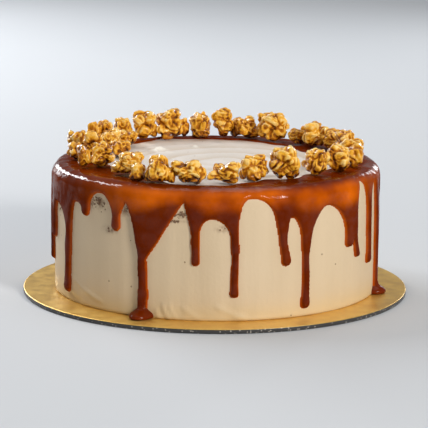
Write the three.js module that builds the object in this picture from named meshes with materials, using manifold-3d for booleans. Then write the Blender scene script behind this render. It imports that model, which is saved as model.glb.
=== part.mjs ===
// A caramel popcorn drip cake on its round gold cake board, in millimetres, +Z up.
// The origin is the centre of the board's underside, and -Y is the front of the cake.
// A round cake is frosted all over, caramel runs from its top edge down the side, and a
// ring of caramel popcorn lies on the top. Angles are in degrees, anticlockwise from +X.

import * as THREE from "three";
import { mergeVertices } from "three/addons/utils/BufferGeometryUtils.js";
import Module from "manifold-3d";

const wasm = await Module();
wasm.setup();

// Driving dimensions.
const BOARD_DIAMETER = 254; // a ten inch board
const BOARD_THICKNESS = 3;
const CAKE_DIAMETER = 213; // eight inch sponge layers with 5 mm of frosting round them
const CAKE_HEIGHT = 83; // of the frosted cake, above the board
const SHOULDER_RADIUS = 8; // of the rounded top edge
const CARAMEL_THICKNESS = 2; // of the sheet of caramel over the top edge
const FILM_THICKNESS = 1.1; // of the same sheet where it thins out on the top
const STEM_THICKNESS = 2.8; // of a drip, out from the frosting
const SWIRL_DEPTH = 1.2; // of the groove that a palette knife left in the top
const SWIRL_PITCH = 21; // from one turn of that groove to the next
const CLEARANCE = 0.3; // between pieces that lie against each other
const SMALL_POPCORN = 13.5; // a piece narrower than this has fewer faces
const POPCORN_SINK = 3; // how far a piece of popcorn presses into what it lies on

const BOARD_RADIUS = BOARD_DIAMETER / 2;
const CAKE_RADIUS = CAKE_DIAMETER / 2;
const CAKE_TOP = BOARD_THICKNESS + CAKE_HEIGHT;
const SHOULDER_START = CAKE_RADIUS - SHOULDER_RADIUS; // where the flat top begins to turn down
const SHOULDER_BASE = CAKE_TOP - SHOULDER_RADIUS; // height at which the side begins to turn in
const SHOULDER_END = SHOULDER_BASE + (SHOULDER_RADIUS * Math.PI) / 2; // the same plus the bend

const ROUND_SIDES = 60; // sides of the board, the cake and the caramel sheet
const DRIP_SIDES = 8;
const DRIP_OVERLAP = 0.5; // of one drip with the next, under the top of their arch
const LEAN_ABOVE_NECK = 10; // how far above its neck a leaning drip comes back to its angle

// The caramel's drips: the angle, the height of the tip, half the width of the stem, the height
// at which the stem begins to widen, and how far the tip hangs to the right of the angle.
// Heights are from the underside of the board.
const drip = (angle, tip, stem, neck, lean = 0) => ({ angle, tip, stem, neck, lean });
const FRONT_DRIPS = [
  drip(-171.5, 23, 3.2, 52),
  drip(-165.5, 40, 3.2, 55),
  drip(-150.5, 8.5, 3.3, 48, -3),
  drip(-140, 62, 3.4, 66),
  drip(-125.5, 56, 3, 64),
  drip(-115, BOARD_THICKNESS, 3.1, 41),
  drip(-96.5, 38, 2.35, 57),
  drip(-83.5, 18, 2.3, 54),
  drip(-66.8, 36.5, 2.9, 46, 2.4),
  drip(-58, 8, 2.55, 41),
  drip(-37, 42, 3.6, 48),
  drip(-22.6, 27, 2.6, 56),
  drip(-12.2, BOARD_THICKNESS, 3.4, 30),
];

// The tops of the arches of bare frosting between those drips, with one before the first. A
// bow of 2 is a round arch, and 1 a pointed one with straight sides.
const arch = (angle, height, bow = 2) => ({ angle, height, bow });
const FRONT_ARCHES = [
  arch(-182, 68),
  arch(-168.5, 60),
  arch(-162, 64.5),
  arch(-146, 69.5),
  arch(-132.7, 78.5),
  arch(-121.5, 74.5, 1.3),
  arch(-100.6, 78, 1),
  arch(-91.1, 67.5),
  arch(-78, 80, 2.6),
  arch(-63.8, 67, 2.2),
  arch(-48.4, 72, 1.9),
  arch(-29.7, 83),
  arch(-17.2, 80),
  arch(0, 74),
];

// One short drip hangs from the right side of a longer one, with a low notch between them.
const SIDE_DRIP = { ...drip(-33.7, 34, 2.2, 41, 3.2), left: arch(-36.5, 50), right: arch(-29.7, 83) };

// The far side of the cake has the same kind of drips, spaced and sized by a seeded draw.
const BACK_DRIPS = { count: 11, shortest: 10, longest: 60, lowestArch: 66, highestArch: 80 };

// The two longest drips end in small pools on the board, each at its drip's angle and with its
// own reach out from the side of the cake.
const POOLS = [
  { angle: -115, reach: 11.7 },
  { angle: -12.2, reach: 8.3 },
];
const POOL_WIDTH = 16;
const POOL_HEIGHT = 6;

// Where the caramel ends on the top, as angles and distances from the middle.
const TOP_EDGE = [
  [-180, 78],
  [-150, 72],
  [-128, 72],
  [-116, 84],
  [-104, 96.5],
  [-88, 95.5],
  [-76, 86],
  [-66, 80],
  [-54, 83],
  [-40, 78],
  [-10, 80],
  [20, 72],
  [41, 72],
  [57, 79],
  [70, 84],
  [88, 88.5],
  [97, 91],
  [112, 95.5],
  [130, 88],
  [155, 80],
  [180, 78],
];

// The popcorn: angle and distance from the middle, width of the piece, and how high it stands
// above what it lies on.
const popcorn = (angle, radius, width, height) => ({ angle, radius, width, height });
const POPCORN_RING = [
  popcorn(-132, 83, 20, 15),
  popcorn(-120, 97, 10, 12),
  popcorn(-112, 97, 16, 17),
  popcorn(-108, 95, 9, 11),
  popcorn(-100, 91, 22, 16),
  popcorn(-86, 87, 20, 15),
  popcorn(-72, 78, 18, 17),
  popcorn(-59, 84, 20, 22),
  popcorn(-43, 86, 19, 18),
  popcorn(-30, 89, 17, 18),
  popcorn(-18, 94, 12, 16),
  popcorn(-5, 89, 17, 16),
  popcorn(10, 87, 18, 18),
  popcorn(26, 91, 20, 15),
  popcorn(37, 84, 18, 18),
  popcorn(49, 86, 12, 11),
  popcorn(48, 95, 10, 14),
  popcorn(62.5, 88, 21, 20),
  popcorn(75, 91, 15, 16),
  popcorn(81, 95, 9, 14),
  popcorn(87, 91, 15, 21),
  popcorn(97, 92, 17, 18),
  popcorn(103.5, 95, 8, 14),
  popcorn(110, 94, 19, 21),
  popcorn(121, 95, 17, 20),
  popcorn(133, 95, 15, 17),
  popcorn(138, 81, 14, 12),
  popcorn(144, 94, 14, 17),
  popcorn(153, 94, 10, 18),
  popcorn(147, 85, 15, 14),
  popcorn(169, 94, 15, 16),
  popcorn(158, 76, 14, 14),
  popcorn(-176, 93, 11, 12),
  popcorn(-157, 93, 10, 15),
  popcorn(-180, 80, 14, 19),
  popcorn(-157, 79, 15, 17),
  popcorn(172, 63, 14, 12),
];

const radians = THREE.MathUtils.degToRad;
const degrees = THREE.MathUtils.radToDeg;
const lerp = THREE.MathUtils.lerp;
const smoothstep = THREE.MathUtils.smoothstep;

// A repeatable stream of numbers from 0 to 1.
function seeded(seed) {
  let state = seed * 7919;
  return () => {
    state = (state + 0x6d2b79f5) | 0;
    let mixed = Math.imul(state ^ (state >>> 15), 1 | state);
    mixed = (mixed + Math.imul(mixed ^ (mixed >>> 7), 61 | mixed)) ^ mixed;
    return ((mixed ^ (mixed >>> 14)) >>> 0) / 4294967296;
  };
}

// A value that eases from each [angle, value] pair of a list to the next.
function easedAlong(pairs, angle) {
  const next = pairs.findIndex(([at]) => at >= angle);
  if (next === 0) return pairs[0][1];
  const [from, start] = pairs[next - 1];
  const [to, end] = pairs[next];
  return lerp(start, end, smoothstep(angle, from, to));
}

// Height of the frosting above the flat top: a spiral groove that fades out before the edge.
function swirl(x, y) {
  const radius = Math.hypot(x, y);
  const turns = radius / SWIRL_PITCH + Math.atan2(y, x) / (2 * Math.PI);
  const phase = turns - Math.floor(turns);
  const rise = phase < 0.75 ? phase / 0.75 : (1 - phase) / 0.25;
  const fade = smoothstep(radius, 4, 14) * (1 - smoothstep(radius, 62, 78));
  return -SWIRL_DEPTH * (1 - rise) * fade;
}

const signedDegrees = (turn) => degrees(Math.atan2(Math.sin(turn), Math.cos(turn)));
const caramelTopEdge = (angle) => easedAlong(TOP_EDGE, angle);

// Every drip all round, each with the arch to its left and the arch to its right.
function dripsAllRound() {
  const draw = seeded(11);
  const { count, shortest, longest, lowestArch, highestArch } = BACK_DRIPS;
  const start = FRONT_ARCHES.at(-1).angle;
  const gap = (FRONT_ARCHES[0].angle + 360 - start) / count;
  const drips = [...FRONT_DRIPS];
  const arches = [...FRONT_ARCHES];
  for (let i = 0; i < count; i++) {
    const tip = lerp(shortest, longest, draw());
    const angle = start + gap * (i + lerp(0.35, 0.65, draw()));
    drips.push(drip(angle, tip, lerp(2.4, 3.2, draw()), lerp(tip + 8, lowestArch, 0.55)));
    arches.push(arch(start + gap * (i + lerp(0.85, 1.1, draw())), lerp(lowestArch, highestArch, draw())));
  }
  arches[arches.length - 1] = arch(FRONT_ARCHES[0].angle + 360, FRONT_ARCHES[0].height);
  return drips.map((one, i) => ({ ...one, left: arches[i], right: arches[i + 1] }));
}

const MAIN_DRIPS = dripsAllRound();
const DRIPS = [...MAIN_DRIPS, SIDE_DRIP];

// The lower edge of the sheet runs from arch to arch.
const ALL_ARCHES = [MAIN_DRIPS[0].left, ...MAIN_DRIPS.map(({ right }) => right)];
const LOWER_EDGE = ALL_ARCHES.map(({ angle, height }) => [angle, height]);
const caramelLowerEdge = (angle) => easedAlong(LOWER_EDGE, angle > LOWER_EDGE.at(-1)[0] ? angle - 360 : angle);

// The highest solid surface under a point of the top, on the frosting or on the caramel.
function supportHeight(x, y) {
  const radius = Math.hypot(x, y);
  if (radius < caramelTopEdge(degrees(Math.atan2(y, x))) - 2) return CAKE_TOP + swirl(x, y);
  const reach = SHOULDER_RADIUS + CARAMEL_THICKNESS;
  const past = radius - SHOULDER_START;
  if (past < 0) return CAKE_TOP + FILM_THICKNESS;
  if (past > reach) return -Infinity;
  return CAKE_TOP - SHOULDER_RADIUS + Math.sqrt(reach * reach - past * past);
}

// A lathe about +Z from a profile of [radius, height] pairs.
function latheZ(profile, sides) {
  const points = profile.map(([radius, height]) => new THREE.Vector2(radius, height));
  return new THREE.LatheGeometry(points, sides).rotateX(Math.PI / 2);
}

// Moves each vertex of a geometry by a function of its position.
function reshape(geometry, move) {
  const position = geometry.getAttribute("position");
  const point = new THREE.Vector3();
  for (let i = 0; i < position.count; i++) {
    point.fromBufferAttribute(position, i);
    move(point);
    position.setXYZ(i, ...point);
  }
  return geometry;
}

// A closed loft: a lathe whose vertices are placed by a function of their turn and row.
function loft(sides, rowCount, place) {
  const profile = Array.from({ length: rowCount }, (_, row) => new THREE.Vector2(1, row));
  const geometry = new THREE.LatheGeometry(profile, sides);
  const position = geometry.getAttribute("position");
  for (let i = 0; i < position.count; i++) {
    const side = Math.floor(i / rowCount) % sides;
    position.setXYZ(i, ...place((side / sides) * 2 * Math.PI, i % rowCount));
  }
  return geometry;
}

// A closed geometry as a solid for joining and cutting.
function solidOf(geometry) {
  const bare = geometry.clone();
  bare.deleteAttribute("normal");
  bare.deleteAttribute("uv");
  const merged = mergeVertices(bare, 1e-4);
  return new wasm.Manifold(
    new wasm.Mesh({
      numProp: 3,
      vertProperties: new Float32Array(merged.getAttribute("position").array),
      triVerts: new Uint32Array(merged.index.array),
    }),
  );
}

// The largest body of a solid as a geometry, without the scraps that a cut can leave.
function geometryOf(solid) {
  const bodies = solid.decompose();
  bodies.sort((a, b) => b.volume() - a.volume());
  const mesh = bodies[0].getMesh();
  const geometry = new THREE.BufferGeometry();
  geometry.setAttribute("position", new THREE.BufferAttribute(mesh.vertProperties, 3));
  geometry.setIndex(new THREE.BufferAttribute(mesh.triVerts, 1));
  geometry.computeVertexNormals();
  return geometry;
}

// A flat disc, its edge eased above and below.
function discGeometry(radius, bottom, top, ease) {
  return latheZ(
    [
      [0, bottom],
      [radius - ease, bottom],
      [radius, bottom + ease],
      [radius, top - ease],
      [radius - ease, top],
      [0, top],
    ],
    ROUND_SIDES,
  );
}

// A point over the frosting, as [radius, height]: so far up the side and on over the rounded
// top edge, and so far out from the frosting.
function overFrosting(along, depth) {
  const turn = Math.max(along - SHOULDER_BASE, 0) / SHOULDER_RADIUS;
  const reach = SHOULDER_RADIUS + depth;
  const start = Math.min(along, SHOULDER_BASE);
  return [SHOULDER_START + reach * Math.cos(turn), start + reach * Math.sin(turn)];
}

const onCake = (turn, [radius, height]) => [radius * Math.cos(turn), radius * Math.sin(turn), height];

// The frosted cake, grown outwards by a margin where it is used to cut the caramel.
function cakeGeometry(grow = 0) {
  const topRings = [76, 62, 50, 38, 26, 13];
  const base = BOARD_THICKNESS - grow;
  const ease = 0.8;
  const profile = [
    [0, base],
    [CAKE_RADIUS - ease + grow, base],
    [CAKE_RADIUS + grow, base + ease],
  ];
  for (const share of [0, 1 / 3, 2 / 3, 1]) {
    profile.push(overFrosting(lerp(SHOULDER_BASE, SHOULDER_END, share), grow));
  }
  for (const ring of topRings) profile.push([ring, CAKE_TOP + grow]);
  profile.push([0, CAKE_TOP + grow]);
  return reshape(latheZ(profile, ROUND_SIDES), (p) => {
    if (p.z > CAKE_TOP - 0.01) p.z += swirl(p.x, p.y);
  });
}

// The profile of the sheet of caramel over the top edge. It closes on itself inside the
// frosting, which is cut away afterwards.
function sheetProfile(turn) {
  const thick = CARAMEL_THICKNESS;
  const topEdge = caramelTopEdge(signedDegrees(turn));
  const lowerEdge = caramelLowerEdge(signedDegrees(turn));
  const buried = [topEdge, CAKE_TOP - 2.5];
  return [
    buried,
    [CAKE_RADIUS - 5, CAKE_TOP - 2.5],
    [CAKE_RADIUS - 2.5, lowerEdge],
    overFrosting(lowerEdge, 0),
    overFrosting(lowerEdge + 1.4, 0.85 * thick),
    ...[0, 0.35, 0.7].map((share) => overFrosting(lerp(lowerEdge + 4, SHOULDER_END, share), thick)),
    overFrosting(SHOULDER_END, FILM_THICKNESS),
    [Math.min(topEdge + 4, SHOULDER_START - 0.4), CAKE_TOP + FILM_THICKNESS],
    [topEdge + 0.8, CAKE_TOP + 0.7 * FILM_THICKNESS],
    buried,
  ];
}

function sheetGeometry() {
  const rowCount = sheetProfile(0).length;
  return loft(ROUND_SIDES, rowCount, (turn, row) => onCake(turn, sheetProfile(turn)[row]));
}

// The rows of a drip from its tip up: how far it reaches to each side of its middle, the
// height at each side, and its thickness. The widest row has no heights, as it runs along
// inside the lower edge of the sheet.
function dripRows({ angle, tip, stem, neck, left, right }) {
  const bead = stem * 1.15;
  const even = (half, height, thickness) => ({ halves: [half, half], heights: [height, height], thickness });
  const rows = [
    even(0, tip, 0),
    even(bead * 0.85, tip + bead * 0.4, STEM_THICKNESS * 0.9),
    even(bead, tip + 1.3 * bead, STEM_THICKNESS * 1.1),
    even(stem, tip + 3 * bead, STEM_THICKNESS),
    even(stem, Math.max(neck, tip + 4 * bead), STEM_THICKNESS),
  ];
  const sides = [left, right];
  const reaches = sides.map((side) => Math.abs(radians(side.angle - angle)) * CAKE_RADIUS + DRIP_OVERLAP);
  for (const share of [0.55, 0.87, 1]) {
    const heights = sides.map((side) => lerp(neck, caramelLowerEdge(side.angle), share));
    const halves = sides.map(({ height, bow }, i) => {
      const climbed = Math.min((heights[i] - neck) / (height - neck), 1);
      return lerp(stem, reaches[i], 1 - (1 - climbed ** bow) ** (1 / bow));
    });
    rows.push({ halves, heights, thickness: lerp(STEM_THICKNESS, CARAMEL_THICKNESS, share) });
  }
  rows.push({ halves: reaches, thickness: 0.85 * CARAMEL_THICKNESS });
  const top = caramelLowerEdge(signedDegrees(radians(angle))) + 4;
  rows.push(even(0, top, 0));
  return rows;
}

// One drip: a round bar between two points, with its rows widened to each side and flattened
// on to the side of the cake.
function dripGeometry(one) {
  const rows = dripRows(one);
  return loft(DRIP_SIDES, rows.length, (round, rowIndex) => {
    const { halves, heights, thickness } = rows[rowIndex];
    const across = Math.sin(round);
    const leaning = heights ? one.lean * (1 - smoothstep(heights[0], one.tip, one.neck + LEAN_ABOVE_NECK)) : 0;
    const turn = radians(one.angle) + (leaning + across * halves[across < 0 ? 0 : 1]) / CAKE_RADIUS;
    const along = heights ? lerp(...heights, (across + 1) / 2) : caramelLowerEdge(signedDegrees(turn)) + 4;
    return onCake(turn, overFrosting(along, Math.max(Math.cos(round) * thickness, -1)));
  });
}

// The pool at the foot of a drip that has reached the board: a half of a flattened ball.
function poolGeometry({ angle, reach }) {
  const arc = [0, 30, 60].map((turn) => [Math.cos(radians(turn)), Math.sin(radians(turn))]);
  return latheZ([[0, 0], ...arc, [0, 1]], DRIP_SIDES + 4)
    .scale(reach, POOL_WIDTH / 2, POOL_HEIGHT)
    .translate(CAKE_RADIUS, 0, BOARD_THICKNESS)
    .rotateZ(radians(angle));
}

// Sheet, drips and pools joined into one skin that lies on the frosting and the board.
function caramelGeometry() {
  const poured = [sheetGeometry(), ...DRIPS.map(dripGeometry), ...POOLS.map(poolGeometry)];
  const joined = poured.map(solidOf).reduce((whole, piece) => whole.add(piece));
  const board = discGeometry(BOARD_RADIUS, -1, BOARD_THICKNESS + CLEARANCE, 0);
  return geometryOf(joined.subtract(solidOf(cakeGeometry(CLEARANCE))).subtract(solidOf(board)));
}

// One popped kernel about its own middle: the outline of a core and a broad foot with lobes
// set round them, scaled to its width and height. Its seed picks the lobes.
function kernelGeometry(width, height, seed) {
  const draw = seeded(seed);
  const lobes = [
    { centre: new THREE.Vector3(), radius: 0.58 },
    { centre: new THREE.Vector3(0, 0, -0.4), radius: 0.56 },
  ];
  const lobeCount = 8 + Math.floor(draw() * 4);
  for (let i = 0; i < lobeCount; i++) {
    const rise = 1 - (2 * (i + 0.5)) / lobeCount;
    const flat = Math.sqrt(1 - rise * rise);
    const turn = i * 2.4 + draw() * 0.8 + seed;
    const centre = new THREE.Vector3(flat * Math.cos(turn), flat * Math.sin(turn), rise);
    lobes.push({ centre: centre.multiplyScalar(lerp(0.44, 0.68, draw())), radius: lerp(0.3, 0.45, draw()) });
  }
  const outline = (direction) => {
    let farthest = 0;
    for (const { centre, radius } of lobes) {
      const along = direction.dot(centre);
      const inside = radius * radius - centre.lengthSq() + along * along;
      if (inside > 0) farthest = Math.max(farthest, along + Math.sqrt(inside));
    }
    return farthest;
  };
  const detail = width < SMALL_POPCORN ? 1 : 2;
  const geometry = reshape(new THREE.IcosahedronGeometry(1, detail), (p) => {
    p.normalize();
    p.multiplyScalar(outline(p));
  });
  geometry.computeBoundingBox();
  const size = geometry.boundingBox.getSize(new THREE.Vector3());
  const across = (2 * width) / (size.x + size.y);
  return geometry.scale(across, across, height / size.z);
}

// A kernel laid on the top, its underside pressed flat where it would sink into the surface.
function laidKernel({ angle, radius, width, height }, seed) {
  const x = radius * Math.cos(radians(angle));
  const y = radius * Math.sin(radians(angle));
  const geometry = kernelGeometry(width, height + POPCORN_SINK, seed).translate(x, y, 0);
  const position = geometry.getAttribute("position");
  let lift = -Infinity;
  for (let i = 0; i < position.count; i++) {
    lift = Math.max(lift, supportHeight(position.getX(i), position.getY(i)) - position.getZ(i));
  }
  return reshape(geometry, (p) => {
    p.z = Math.max(p.z + lift - POPCORN_SINK, supportHeight(p.x, p.y) + CLEARANCE);
  });
}

// A copy grown about its own middle, which keeps two touching kernels a little apart.
function grownCopy(geometry) {
  geometry.computeBoundingBox();
  const centre = geometry.boundingBox.getCenter(new THREE.Vector3());
  const size = geometry.boundingBox.getSize(new THREE.Vector3());
  const scale = (side) => 1 + (3 * CLEARANCE) / side;
  return geometry
    .clone()
    .translate(-centre.x, -centre.y, -centre.z)
    .scale(scale(size.x), scale(size.y), scale(size.z))
    .translate(centre.x, centre.y, centre.z);
}

// Every kernel in turn, cut back where it would reach into one that already lies there.
function popcornGeometries() {
  const laid = [];
  return POPCORN_RING.map((piece, index) => {
    const geometry = laidKernel(piece, index + 1);
    const cut = laid.reduce((left, other) => left.subtract(other), solidOf(geometry));
    laid.push(solidOf(grownCopy(geometry)));
    return geometryOf(cut);
  });
}

const finishes = {
  goldBoard: new THREE.MeshStandardMaterial({ color: 0xd9a84e, roughness: 0.35, metalness: 0.8 }),
  frosting: new THREE.MeshStandardMaterial({ color: 0xd8c19b, roughness: 0.6, metalness: 0 }),
  caramel: new THREE.MeshStandardMaterial({ color: 0x7c2c06, roughness: 0.12, metalness: 0 }),
  popcorn: new THREE.MeshStandardMaterial({ color: 0xc98a33, roughness: 0.25, metalness: 0 }),
};

const cake = new THREE.Group();

function addPiece(name, geometry, material) {
  const mesh = new THREE.Mesh(geometry, material);
  mesh.name = name;
  cake.add(mesh);
}

addPiece("cake_board", discGeometry(BOARD_RADIUS, 0, BOARD_THICKNESS, 0.7), finishes.goldBoard);
addPiece("frosted_cake", cakeGeometry(), finishes.frosting);
addPiece("caramel_drip", caramelGeometry(), finishes.caramel);
popcornGeometries().forEach((geometry, index) => {
  addPiece("popcorn_" + String(index + 1).padStart(2, "0"), geometry, finishes.popcorn);
});

export default cake;
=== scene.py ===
import math

import bmesh
import bpy
import numpy as np
from mathutils import Matrix, Vector
from mathutils.bvhtree import BVHTree
from mathutils.kdtree import KDTree


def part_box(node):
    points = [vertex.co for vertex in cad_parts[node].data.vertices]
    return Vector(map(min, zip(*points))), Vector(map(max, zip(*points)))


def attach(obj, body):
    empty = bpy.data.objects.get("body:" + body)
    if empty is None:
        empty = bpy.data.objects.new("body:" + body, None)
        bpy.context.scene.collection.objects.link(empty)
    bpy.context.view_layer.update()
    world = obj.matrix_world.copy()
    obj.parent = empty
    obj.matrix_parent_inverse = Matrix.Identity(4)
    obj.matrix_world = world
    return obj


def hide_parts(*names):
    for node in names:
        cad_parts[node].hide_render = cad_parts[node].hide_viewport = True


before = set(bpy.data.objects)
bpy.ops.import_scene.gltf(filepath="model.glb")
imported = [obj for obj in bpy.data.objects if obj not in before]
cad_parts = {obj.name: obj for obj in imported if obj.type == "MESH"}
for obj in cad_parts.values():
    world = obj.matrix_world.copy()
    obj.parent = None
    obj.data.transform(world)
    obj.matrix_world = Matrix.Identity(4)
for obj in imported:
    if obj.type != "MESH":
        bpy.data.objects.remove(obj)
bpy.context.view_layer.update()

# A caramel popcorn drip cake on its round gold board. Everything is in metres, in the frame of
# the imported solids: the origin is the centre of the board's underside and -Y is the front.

MM = 0.001
TINY = 1e-9  # what keeps a division away from zero

# ---------------------------------------------------------------- sizes

_, board_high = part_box("cake_board")
_, cake_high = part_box("frosted_cake")
BOARD_RADIUS = board_high.x
BOARD_TOP = board_high.z
CAKE_RADIUS = cake_high.x
CAKE_TOP = cake_high.z
SHOULDER_RADIUS = 8 * MM
SHOULDER_START = CAKE_RADIUS - SHOULDER_RADIUS
SHOULDER_BASE = CAKE_TOP - SHOULDER_RADIUS
SHOULDER_END = SHOULDER_BASE + SHOULDER_RADIUS * math.pi / 2

SHEET_THICKNESS = 1.9 * MM
FILM_THICKNESS = 1.0 * MM  # of the same sheet where it thins out on the top
STEM_THICKNESS = 2.7 * MM
EDGE_ROUNDING = 2.6 * MM  # how far in from its edge the caramel reaches its full thickness
SKIN = 0.8 * MM  # how far behind its face the caramel's closed shell ends
SUNK = 0.7 * MM  # how far the shell dips into the frosting outside the caramel's edge

SWIRL_DEPTH = 1.2 * MM
SWIRL_PITCH = 21 * MM

# The caramel's drips and the arches between them, as the solids have them, in degrees and
# millimetres. A drip is its angle, the height of its tip, half the width of its stem, the
# height where the stem widens and how far the tip hangs to the right; an arch is its angle,
# its height and its bow, 2 for round.
FRONT_DRIPS = [
    (-171.5, 23, 3.2, 52, 0),
    (-165.5, 40, 3.2, 55, 0),
    (-150.5, 8.5, 3.3, 48, -3),
    (-140, 62, 3.4, 66, 0),
    (-125.5, 56, 3, 64, 0),
    (-115, 3, 3.1, 41, 0),
    (-96.5, 38, 2.35, 57, 0),
    (-83.5, 18, 2.3, 54, 0),
    (-66.8, 36.5, 2.9, 46, 2.4),
    (-58, 8, 2.55, 41, 0),
    (-37, 42, 3.6, 48, 0),
    (-22.6, 27, 2.6, 56, 0),
    (-12.2, 3, 3.4, 30, 0),
]
FRONT_ARCHES = [
    (-182, 68, 2),
    (-168.5, 60, 2),
    (-162, 64.5, 2),
    (-146, 69.5, 2),
    (-132.7, 78.5, 2),
    (-121.5, 74.5, 1.3),
    (-100.6, 78, 1),
    (-91.1, 67.5, 2),
    (-78, 80, 2.6),
    (-63.8, 67, 2.2),
    (-48.4, 72, 1.9),
    (-29.7, 83, 2),
    (-17.2, 80, 2),
    (0, 74, 2),
]

# A narrow drip that runs into its larger neighbour at the top, with the arch on each side of it.
SIDE_DRIP = ((-33.7, 34, 2.2, 41, 3.2), (-36.5, 50, 2), (-29.7, 83, 2))
SIDE_DRIP_NEIGHBOUR = 10  # its place in the list of drips

LEAN_ABOVE_NECK = 10  # how far above its neck a leaning drip comes back to its angle
BEAD_SWELL = 1.17  # how much wider than its stem the bead at a drip's tip is
BEAD_HEIGHT = 3.2  # how far above the tip the bead has narrowed to the stem, in beads' half widths

# The drips round the back, which are drawn from a seeded rule. A stem is half its width here too.
BACK_DRIPS = {
    "count": 11,
    "lowest_tip": 10,
    "highest_tip": 60,
    "narrowest_stem": 2.4,
    "widest_stem": 3.2,
    "lowest_neck": 8,  # above the tip
    "lowest_arch": 66,
    "highest_arch": 80,
}

# Where the caramel ends on the top, as degrees and millimetres from the middle.
TOP_EDGE = [
    (-180, 78),
    (-150, 72),
    (-128, 72),
    (-116, 84),
    (-104, 96.5),
    (-88, 95.5),
    (-76, 86),
    (-66, 80),
    (-54, 83),
    (-40, 78),
    (-10, 80),
    (20, 72),
    (41, 72),
    (57, 79),
    (70, 84),
    (88, 88.5),
    (97, 91),
    (112, 95.5),
    (130, 88),
    (155, 80),
    (180, 78),
]

# The pools on the board: each one's angle, and its reach from the side of the cake. Each is a
# bell, given from the middle of its underside out and up to the stem as (radius, height). All
# but the angles are in millimetres.
POOLS = [(-115, 11.7), (-12.2, 8.3)]
POOL_RADIUS = 7.6
POOL_PROFILE = [
    (0, 0),
    (6.4, 0),
    (7.4, 0.7),
    (POOL_RADIUS, 1.6),
    (7.1, 2.8),
    (5.9, 3.9),
    (4.5, 4.8),
    (3.4, 6),
    (2.9, 8),
    (0, 9),
]


def smoothstep(low, high, value):
    share = np.clip((value - low) / (high - low), 0, 1)
    return share * share * (3 - 2 * share)


def eased_along(pairs, angle):
    """A value that eases from each (angle, value) pair to the next."""
    angles = np.array([pair[0] for pair in pairs], float)
    values = np.array([pair[1] for pair in pairs], float)
    after = np.clip(np.searchsorted(angles, angle, side="left"), 1, len(angles) - 1)
    share = smoothstep(angles[after - 1], angles[after], angle)
    return values[after - 1] + (values[after] - values[after - 1]) * share


def seeded(seed):
    """The solids' own stream of numbers from 0 to 1."""
    whole = 0xFFFFFFFF
    state = seed * 7919
    while True:
        state = (state + 0x6D2B79F5) & whole
        mixed = ((state ^ (state >> 15)) * (1 | state)) & whole
        mixed = ((mixed + ((mixed ^ (mixed >> 7)) * (61 | mixed))) & whole) ^ mixed
        yield ((mixed ^ (mixed >> 14)) & whole) / 4294967296


def drips_all_round():
    """Every drip with the arch on each side of it: (drip, left arch, right arch)."""
    draw = seeded(11)

    def between(low, high):
        return low + (high - low) * next(draw)

    start = FRONT_ARCHES[-1][0]
    gap = (FRONT_ARCHES[0][0] + 360 - start) / BACK_DRIPS["count"]
    drips = list(FRONT_DRIPS)
    arches = list(FRONT_ARCHES)
    low_arch = BACK_DRIPS["lowest_arch"]
    for i in range(BACK_DRIPS["count"]):
        tip = between(BACK_DRIPS["lowest_tip"], BACK_DRIPS["highest_tip"])
        angle = start + gap * (i + between(0.35, 0.65))
        stem = between(BACK_DRIPS["narrowest_stem"], BACK_DRIPS["widest_stem"])
        lowest_neck = tip + BACK_DRIPS["lowest_neck"]
        drips.append((angle, tip, stem, lowest_neck + (low_arch - lowest_neck) * 0.55, 0))
        side = start + gap * (i + between(0.85, 1.1))
        arches.append((side, between(low_arch, BACK_DRIPS["highest_arch"]), 2))
    arches[-1] = (FRONT_ARCHES[0][0] + 360, *FRONT_ARCHES[0][1:])
    return [(drip, arches[i], arches[i + 1]) for i, drip in enumerate(drips)]


MAIN_DRIPS = drips_all_round()

# ---------------------------------------------------------------- mesh helpers


def new_piece(name, bm, finish):
    """A smooth piece from a bmesh, which it uses up, that rides on the cake's one body."""
    mesh = bpy.data.meshes.new(name)
    bm.to_mesh(mesh)
    bm.free()
    piece = bpy.data.objects.new(name, mesh)
    bpy.context.scene.collection.objects.link(piece)
    mesh.materials.append(finish)
    mesh.polygons.foreach_set("use_smooth", [True] * len(mesh.polygons))
    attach(piece, "root")
    return piece


def spun(profile, steps):
    """A bmesh turned about +Z from (radius, height) pairs, closed at the axis."""
    bm = bmesh.new()
    line = [bm.verts.new((radius, 0, height)) for radius, height in profile]
    edges = [bm.edges.new(pair) for pair in zip(line, line[1:])]
    bmesh.ops.spin(
        bm,
        geom=line + edges,
        cent=(0, 0, 0),
        axis=(0, 0, 1),
        angle=2 * math.pi,
        steps=steps,
        use_merge=True,
    )
    bmesh.ops.remove_doubles(bm, verts=bm.verts, dist=1e-6)
    bmesh.ops.recalc_face_normals(bm, faces=bm.faces)
    return bm


def coordinates(bm):
    bm.verts.index_update()
    return np.array([v.co for v in bm.verts])


def move_to(bm, points):
    for vert, point in zip(bm.verts, points):
        vert.co = point


def keep_values(bm, name, values):
    """Stores one value for each vertex, which a material reads by name."""
    layer = bm.verts.layers.float.new(name)
    for vert, value in zip(bm.verts, values):
        vert[layer] = value


def even_steps(start, end, step):
    return np.linspace(start, end, max(2, round(abs(end - start) / step) + 1))


def way_up(radius, height):
    """How far up the side and on over the rounded top edge a point of the plain form lies."""
    turn = np.arctan2(height - SHOULDER_BASE, np.maximum(radius - SHOULDER_START, TINY))
    return np.where(height > SHOULDER_BASE, SHOULDER_BASE + SHOULDER_RADIUS * turn, height)


def over_frosting(along, depth):
    """(radius, height) so far up the side and on over the rounded top edge, and so far out."""
    turn = np.maximum(along - SHOULDER_BASE, 0) / SHOULDER_RADIUS
    flat = np.maximum(along - SHOULDER_END, 0)
    turn = np.minimum(turn, math.pi / 2)
    reach = SHOULDER_RADIUS + depth
    radius = SHOULDER_START + reach * np.cos(turn) - flat
    height = np.minimum(along, SHOULDER_BASE) + reach * np.sin(turn)
    return radius, height


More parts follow.
